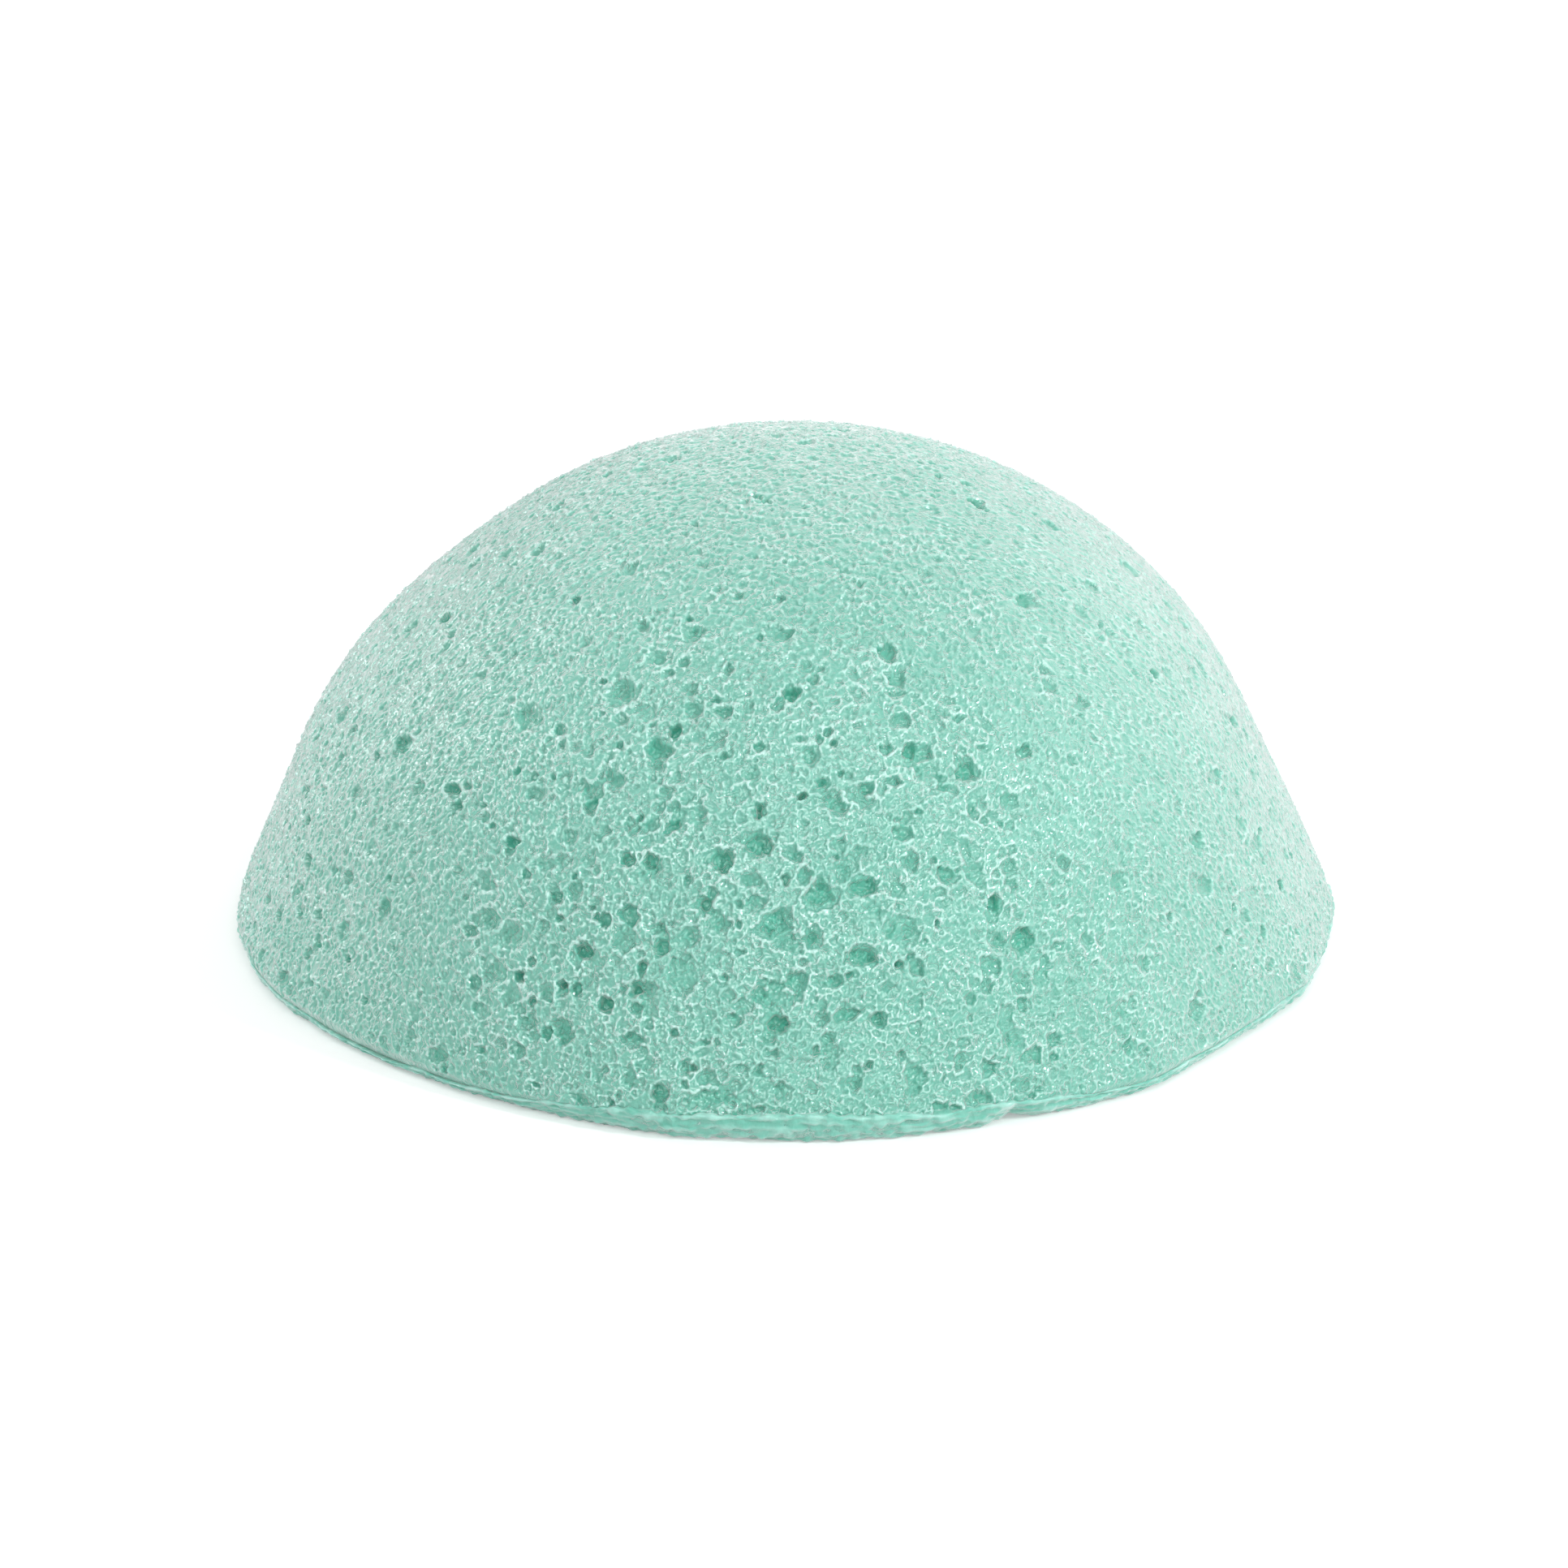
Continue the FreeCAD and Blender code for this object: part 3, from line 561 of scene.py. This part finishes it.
def settle(points):
    """Lets the turned form settle into the uneven one of the photograph."""
    degrees, height, radius = from_front(points), points[..., 2], reach_of(points)

    # The foot runs nearly straight from corner to corner.
    corners, lifts = np.array(FOOT_CORNERS).T
    ends = np.append(corners, corners[0] + 360.0)
    turned = (degrees - corners[0]) % 360.0
    side = np.clip(np.searchsorted(ends - corners[0], turned, side="right") - 1, 0, len(corners) - 1)
    wide = ends[side + 1] - ends[side]
    along = (turned - (ends[side] - corners[0])) / wide
    straight = FOOT_RADIUS * (1.0 - np.cos(np.radians(wide / 2)))
    sag = np.minimum(straight, FOOT_SAG) * 4.0 * along * (1.0 - along)
    near_foot = fade_up(height, SAG_FADE) * smooth_step(*SAG_RADII, radius)

    # At a corner its edge is dented and lifted.
    lift = (lifts * np.exp(-np.abs(turned_from(degrees[..., None], corners)) / LIFT_REACH)).sum(-1)
    dent = DENT_PER_LIFT * lift * fade_up(height, DENT_FADE) * smooth_step(*DENT_RADII, radius)

    swell = -sag * near_foot - dent
    for middle, level, reach, high, rise in SWELLS:
        swell += rise * np.exp(-((turned_from(degrees, middle) / reach) ** 2) - ((height - level) / high) ** 2)
    share = swell / np.maximum(radius, 1.0)
    moved = points.copy()
    moved[..., 0] += points[..., 0] * share + CROWN_SHIFT * (height / CROWN_HEIGHT) ** 2
    moved[..., 1] += points[..., 1] * share
    moved[..., 2] += RAISE_PER_LIFT * lift * fade_up(height, RAISE_FADE) * smooth_step(*RAISE_RADII, radius)
    return moved.astype(np.float32)


def calm_share(points):
    """How calm the foam's face is, from 0 to 1, fading out towards the apex."""
    degrees = from_front(points)
    share = np.zeros(degrees.shape, np.float32)
    for middle, reach, most in CALM_SIDES:
        share += most * np.exp(-((turned_from(degrees, middle) / reach) ** 2))
    return share * smooth_step(*CALM_RADII, reach_of(points))


def box_blur(field, reach):
    """Mean over a square of 2 * reach + 1 points."""
    width = 2 * reach + 1
    for axis in (0, 1):
        margins = [(reach + 1, reach) if a == axis else (0, 0) for a in (0, 1)]
        sums = np.cumsum(np.pad(field, margins, mode="edge"), axis=axis, dtype=np.float64)
        high = np.take(sums, range(width, sums.shape[axis]), axis=axis)
        low = np.take(sums, range(0, sums.shape[axis] - width), axis=axis)
        field = ((high - low) / width).astype(np.float32)
    return field


def grid_mesh(name, points, closing_point, flip, values):
    """A closed mesh from a square grid of points and a fan from its edge to one closing point."""
    side = points.shape[0]
    index = np.arange(side * side, dtype=np.int32).reshape(side, side)
    quads = np.stack((index[:-1, :-1], index[1:, :-1], index[1:, 1:], index[:-1, 1:]), -1).reshape(-1, 4)
    edge = np.concatenate((index[:-1, 0], index[-1, :-1], index[:0:-1, -1], index[0, :0:-1]))
    fan = np.stack((np.roll(edge, -1), edge, np.full_like(edge, side * side)), -1)
    if flip:
        quads, fan = quads[:, ::-1], fan[:, ::-1]
    places = np.concatenate((points.reshape(-1, 3), np.array([closing_point], np.float32))) * np.float32(MM)
    mesh = bpy.data.meshes.new(name)
    mesh.vertices.add(len(places))
    mesh.vertices.foreach_set("co", places.astype(np.float32).ravel())
    corners = np.concatenate((quads.ravel(), fan.ravel())).astype(np.int32)
    mesh.loops.add(len(corners))
    mesh.loops.foreach_set("vertex_index", corners)
    starts = np.concatenate((np.arange(len(quads)) * 4, len(quads) * 4 + np.arange(len(fan)) * 3))
    mesh.polygons.add(len(starts))
    mesh.polygons.foreach_set("loop_start", starts.astype(np.int32))
    mesh.update(calc_edges=True)
    mesh.shade_smooth()

    # The grid itself is the texture map. The closing point is hidden, and takes a corner of it.
    line = np.linspace(MAP_MARGIN, 1.0 - MAP_MARGIN, side, dtype=np.float32)
    spread = np.stack(np.meshgrid(line, line, indexing="ij"), -1).reshape(-1, 2)
    spread = np.concatenate((spread, np.full((1, 2), MAP_MARGIN / 2, np.float32)))
    layer = mesh.uv_layers.new(name="OFBake")
    layer.uv.foreach_set("vector", spread[corners].ravel())
    for key, field in values.items():
        layer = mesh.attributes.new(key, "FLOAT", "POINT")
        layer.data.foreach_set("value", np.append(field.ravel(), 0.0).astype(np.float32))
    piece = bpy.data.objects.new(name, mesh)
    bpy.context.scene.collection.objects.link(piece)
    return piece


def set_inputs(tree, node, inputs):
    """Sets a node's inputs, by name or place, to values or other nodes' sockets."""
    for key, value in dict(inputs).items():
        if isinstance(value, bpy.types.NodeSocket):
            tree.links.new(value, node.inputs[key])
        else:
            node.inputs[key].default_value = value


def add_node(tree, kind, inputs=(), **settings):
    """A shader node with its settings and inputs."""
    node = tree.nodes.new(kind)
    for key, value in settings.items():
        setattr(node, key, value)
    set_inputs(tree, node, inputs)
    return node


def maths(tree, operation, *values):
    return add_node(tree, "ShaderNodeMath", enumerate(values), operation=operation).outputs[0]


def mix_colours(tree, factor, first, second):
    return add_node(tree, "ShaderNodeMix", {0: factor, 6: first, 7: second}, data_type="RGBA").outputs[2]


def map_range(tree, value, low, high, new_low, new_high, interpolation="LINEAR"):
    return add_node(tree, "ShaderNodeMapRange", {
        "Value": value, "From Min": low, "From Max": high, "To Min": new_low, "To Max": new_high,
    }, interpolation_type=interpolation).outputs["Result"]


def noise(tree, place, scale, detail, distortion=0.0):
    """A noise's value. Its scale is per metre of the place."""
    return add_node(tree, "ShaderNodeTexNoise", {
        "Vector": place, "Scale": scale, "Detail": detail, "Distortion": distortion,
    }).outputs["Fac"]


def attribute(tree, name):
    return add_node(tree, "ShaderNodeAttribute", attribute_name=name).outputs["Fac"]


def object_place(tree):
    return add_node(tree, "ShaderNodeTexCoord").outputs["Object"]


def worm_lines(tree, place, scale, width):
    """Thin winding lines, 1 along their middle: where a noise passes its middle value."""
    off = maths(tree, "SUBTRACT", noise(tree, place, scale, 1.0, 0.6), 0.5)
    return map_range(tree, maths(tree, "ABSOLUTE", off), 0.0, width, 1.0, 0.0, "SMOOTHSTEP")


def bump_normal(tree, height, distance):
    return add_node(tree, "ShaderNodeBump", {
        "Height": height, "Strength": 1.0, "Distance": distance,
    }).outputs["Normal"]


def new_material(name):
    material = bpy.data.materials.new(name)
    material.use_nodes = True
    return material, material.node_tree


def foam_material():
    """Wet, translucent gel foam: paler on rims, creases and fine lines, partly as a painted highlight, and darker
    green in dishes and pores, which is painted shade.
    """
    material, tree = new_material("konjac_foam")
    place = object_place(tree)
    relief, depth = attribute(tree, "relief"), attribute(tree, "depth")

    # Fine winding lines, the coarser ones broken.
    broken = map_range(tree, noise(tree, place, 900.0, 1.0), 0.42, 0.58, 0.15, 1.0)
    coarse = maths(tree, "MULTIPLY", worm_lines(tree, place, 1700.0, 0.055), broken)
    lines = maths(tree, "MULTIPLY_ADD", worm_lines(tree, place, 3100.0, 0.075), 0.2, coarse)
    crinkle = noise(tree, place, 2700.0, 0.0, 0.5)
    normal = bump_normal(tree, maths(tree, "MULTIPLY_ADD", crinkle, 1.5, lines), 0.00005)

    patches = map_range(tree, noise(tree, place, 120.0, 2.0), 0.35, 0.65, 0.0, 1.0)
    mint = mix_colours(tree, patches, MINT, PALER_MINT)
    # Painted shade: dishes, then pits, are darker green.
    dish_shaded = mix_colours(tree, map_range(tree, relief, 0.0, -0.12, 0.0, 0.9), mint, DISH_SHADE_GREEN)
    pit_shaded = mix_colours(tree, map_range(tree, depth, 0.10, 0.70, 0.0, 1.0), dish_shaded, PIT_SHADE_GREEN)
    patchy_fade = map_range(tree, noise(tree, place, 330.0, 1.0), 0.36, 0.60, 0.40, 1.0)
    # Painted highlight: raised rims and creases are paler, partly as thin gel walls.
    raised = map_range(tree, relief, 0.018, 0.075, 0.0, 0.92)
    frost_and_highlight = mix_colours(tree, maths(tree, "MULTIPLY", raised, patchy_fade), pit_shaded, FROST_AND_HIGHLIGHT)
    # Painted highlight along the fine winding lines, faded in the pores.
    open_lines = maths(tree, "MULTIPLY", lines, map_range(tree, depth, 0.10, 0.40, 1.0, 0.2))
    line_highlight = maths(tree, "MULTIPLY", map_range(tree, open_lines, 0.35, 1.1, 0.0, 0.68), patchy_fade)

    set_inputs(tree, tree.nodes["Principled BSDF"], {
        "Base Color": mix_colours(tree, line_highlight, frost_and_highlight, PALE_LINE_HIGHLIGHT),
        "Roughness": map_range(tree, lines, 0.0, 1.0, 0.26, 0.14),
        "Normal": normal,
        "Coat Normal": normal,
        "Subsurface Weight": 0.6,
        "Subsurface Radius": (0.5, 1.0, 0.85),
        "Subsurface Scale": 0.0006,
        "IOR": 1.45,
        "Specular IOR Level": 0.8,
        "Sheen Weight": 1.0,
        "Sheen Roughness": 0.5,
        "Coat Weight": map_range(tree, depth, 0.15, 0.6, 1.0, 0.3),
        "Coat IOR": 1.6,
        "Coat Roughness": 0.10,
    })
    return material


def skin_material():
    """Denser gel, with streaks along the rim and a paler lip."""
    material, tree = new_material("konjac_skin")
    place = object_place(tree)
    flat = add_node(tree, "ShaderNodeMapping", {"Vector": place, "Scale": (250.0, 250.0, 1400.0)})
    streaks = noise(tree, flat.outputs["Vector"], 1.0, 3.0)
    colour = mix_colours(tree, map_range(tree, streaks, 0.35, 0.68, 0.0, 1.0), SKIN_MINT, PALER_SKIN)
    streaked = map_range(tree, attribute(tree, "streaks"), 0.3, 1.8, 0.0, 0.5)
    colour = mix_colours(tree, streaked, colour, STREAK_PALE)
    lipped = map_range(tree, attribute(tree, "lip"), 0.1, 0.9, 0.0, 0.4)

    set_inputs(tree, tree.nodes["Principled BSDF"], {
        "Base Color": mix_colours(tree, lipped, colour, LIP_PALE),
        "Roughness": map_range(tree, streaks, 0.3, 0.7, 0.34, 0.50),
        "Normal": bump_normal(tree, noise(tree, place, 3000.0, 2.0), 0.00012),
        "Subsurface Weight": 0.5,
        "Subsurface Radius": (0.6, 1.0, 0.9),
        "Subsurface Scale": 0.0006,
        "IOR": 1.38,
        "Sheen Weight": 0.8,
        "Sheen Roughness": 0.5,
        "Coat Weight": 0.5,
        "Coat Roughness": 0.20,
    })
    return material


def make_foam(rng):
    low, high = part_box("foam_dome")
    form = DomeForm((high.x - low.x) / 2 / MM, low.z / MM, high.z / MM)
    surface = Surface(form, FOAM_GRID, FOAM_TUCK)
    surface.add_waves(FOAM_RUFFLE, FOAM_CRINKLE, rng)
    carve_cells(surface, rng)
    carve_pores(surface, rng)
    raise_creases(surface, rng)
    heights = (1.0 - SOFTENING) * surface.heights + SOFTENING * box_blur(surface.heights, 1)

    points_per_mm = FOAM_GRID / (2 * surface.total)
    shallow = np.maximum(heights, RELIEF_FLOOR)
    relief = shallow - box_blur(shallow, max(1, round(RELIEF_REACH * points_per_mm)))
    calm = calm_share(surface.points)
    heights = heights * (1.0 - CALM_HEIGHTS * calm)
    values = {
        # On the calm sides the relief is shifted up, which paints them paler: a painted sheen.
        "relief": relief * (1.0 - CALM_RELIEF * calm) + CALM_PAINTED_SHEEN * calm,
        "depth": np.clip(-0.5 * (heights + box_blur(heights, 1)), 0.0, DEEPEST),
    }

    clear = surface.points[..., 2] - band_height(from_front(surface.points))
    buried = smooth_step(BURIED_EDGE, -BURIED_EDGE, clear)
    heights = heights * (1.0 - BURIED_CALM * buried) - BURIED_SINK * buried
    points = settle(surface.points + surface.normals * heights[..., None])
    piece = grid_mesh("konjac_foam_dome", points, (0.0, 0.0, float(points[0, 0, 2])), False, values)
    piece.data.materials.append(foam_material())
    return piece


def make_skin(rng):
    low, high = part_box("foam_dome")
    reach, top = (high.x - low.x) / 2 / MM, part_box("base_skin")[1].z / MM
    form = SkinForm(reach, top)
    surface = Surface(form, SKIN_GRID, 0.0)
    surface.add_waves(SKIN_RUFFLE, SKIN_CRINKLE, rng)
    for _ in range(UNDERSIDE_CELLS):
        arc = form.flat_radius * math.sqrt(rng.uniform(0.0, UNDERSIDE_SHARE))
        carve_cell(
            surface, rng.uniform(0.0, TAU), arc, rng.uniform(*UNDERSIDE_DIAMETERS), rng.uniform(*UNDERSIDE_DEPTHS),
            rim=0.0, cover=UNDERSIDE_COVER, width=stretch(UNDERSIDE_STRETCH, rng), sides=SKIN_CELL_SIDES, rng=rng,
        )
    for _ in range(WALL_CELLS):
        carve_cell(
            surface, rng.uniform(0.0, TAU), rng.uniform(form.wall_start, form.wall_end),
            rng.uniform(*WALL_DIAMETERS), rng.uniform(*WALL_DEPTHS), rim=rng.uniform(*WALL_RIMS),
            cover=WALL_COVER, width=stretch(WALL_STRETCH, rng), sides=SKIN_CELL_SIDES, rng=rng,
        )

    stretched = surface.points * np.array(STREAK_SQUEEZE, np.float32)
    streaks = random_field(stretched, *COARSE_STREAKS, rng)
    streaks = streaks + FINE_SHARE * random_field(stretched, *FINE_STREAKS, rng)
    inner, outer = (form.foot_radius - inset for inset in WALL_INSETS)
    on_wall = smooth_step(inner, outer, reach_of(surface.points))
    broken = smooth_step(*LIP_GAP_EDGE, random_field(surface.points, *LIP_GAPS, rng))
    lip = on_wall * broken * np.exp(-(((surface.points[..., 2] - top + LIP_DROP) / LIP_WIDTH) ** 2))
    waves = STREAK_RISE * streaks + RUFFLE_RISE * surface.ruffle
    heights = surface.heights + on_wall * waves + LIP_RISE * lip

    points = surface.points + surface.normals * heights[..., None]
    above = points[..., 2] > OFF_THE_FLOOR
    points[..., 2] *= np.where(above, band_height(from_front(points)) / top, 1.0)
    points[..., 2] = np.maximum(points[..., 2], 0.0)
    piece = grid_mesh("konjac_base_skin", settle(points), (0.0, 0.0, top), True, {
        "streaks": on_wall * streaks,
        "lip": lip,
    })
    piece.data.materials.append(skin_material())
    return piece


def light_area(name, degrees, elevation, size, energy):
    """A soft square lamp that looks at the sponge."""
    lamp = bpy.data.lights.new(name, "AREA")
    lamp.shape, lamp.size, lamp.energy = "SQUARE", size, energy
    holder = bpy.data.objects.new(name, lamp)
    turn, rise = math.radians(degrees), math.radians(elevation)
    away = Vector((math.sin(turn) * math.cos(rise), -math.cos(turn) * math.cos(rise), math.sin(rise)))
    holder.location = Vector((0.0, 0.0, AIM_HEIGHT)) + away * LAMP_DISTANCE
    holder.rotation_euler = away.to_track_quat("Z", "Y").to_euler()
    bpy.context.scene.collection.objects.link(holder)


def seen_share(tree):
    """1 for rays from the camera, reflected or let through, which see the background, and otherwise 0."""
    path = add_node(tree, "ShaderNodeLightPath").outputs
    seen = maths(tree, "MAXIMUM", path["Is Camera Ray"], path["Is Glossy Ray"])
    return maths(tree, "MAXIMUM", seen, path["Is Transmission Ray"])


def make_world(scene):
    """A white background that lights the sponge only softly."""
    scene.world = bpy.data.worlds.new("studio")
    scene.world.use_nodes = True
    tree = scene.world.node_tree
    background = tree.nodes["Background"]
    background.inputs["Color"].default_value = WHITE
    strength = map_range(tree, seen_share(tree), 0.0, 1.0, AMBIENT, 1.0)
    tree.links.new(strength, background.inputs["Strength"])


def make_floor(scene):
    """A pale floor that keeps the shadow, and glows up to white with distance for the rays that see it."""
    mesh = bpy.data.meshes.new("floor")
    corners = [(-1, -1), (1, -1), (1, 1), (-1, 1)]
    mesh.from_pydata([(x * FLOOR_HALF, y * FLOOR_HALF, 0) for x, y in corners], [], [(0, 1, 2, 3)])
    floor = bpy.data.objects.new("floor", mesh)
    scene.collection.objects.link(floor)
    material, tree = new_material("floor_white")
    tree.nodes.clear()
    paint = add_node(tree, "ShaderNodeBsdfDiffuse", {"Color": FLOOR_PAINT})
    spot = add_node(tree, "ShaderNodeNewGeometry").outputs["Position"]
    away = add_node(tree, "ShaderNodeVectorMath", {0: spot}, operation="LENGTH").outputs["Value"]
    far_glow = map_range(tree, away, GLOW_NEAR[0], GLOW_FAR[0], GLOW_NEAR[1], GLOW_FAR[1])
    glow = add_node(tree, "ShaderNodeEmission", {
        "Color": WHITE, "Strength": maths(tree, "MULTIPLY", seen_share(tree), far_glow),
    })
    both = add_node(tree, "ShaderNodeAddShader", {0: paint.outputs[0], 1: glow.outputs[0]})
    add_node(tree, "ShaderNodeOutputMaterial", {"Surface": both.outputs[0]})
    mesh.materials.append(material)


def make_studio():
    scene = bpy.context.scene
    scene.view_settings.view_transform = "Standard"
    make_world(scene)
    for lamp in LAMPS:
        light_area(*lamp)
    make_floor(scene)


def make_camera():
    """The photograph's view: from the front, a little above, through a long lens."""
    elevation, roll = math.radians(CAMERA_ELEVATION), math.radians(CAMERA_ROLL)
    back = Vector((0.0, -math.cos(elevation), math.sin(elevation)))
    up = Vector((0.0, math.sin(elevation), math.cos(elevation)))
    right = Vector((1.0, 0.0, 0.0))
    data = bpy.data.cameras.new("photo_camera")
    data.sensor_width, data.lens = CAMERA_SENSOR, CAMERA_LENS
    data.clip_start, data.clip_end = CAMERA_CLIP
    camera = bpy.data.objects.new("photo_camera", data)
    aim = Vector((0.0, 0.0, AIM_HEIGHT))
    place = aim + back * CAMERA_DISTANCE + right * CAMERA_RIGHT + up * CAMERA_UP
    turn = (-back).to_track_quat("-Z", "Y").to_matrix() @ Matrix.Rotation(roll, 3, "Z")
    camera.matrix_world = Matrix.Translation(place) @ turn.to_4x4()
    bpy.context.scene.collection.objects.link(camera)
    bpy.context.scene.camera = camera


make_camera()
make_studio()
random_source = np.random.default_rng(SEED)
foam = make_foam(random_source)
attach(foam, "root")
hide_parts("foam_dome")
skin = make_skin(random_source)
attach(skin, "root")
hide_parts("base_skin")
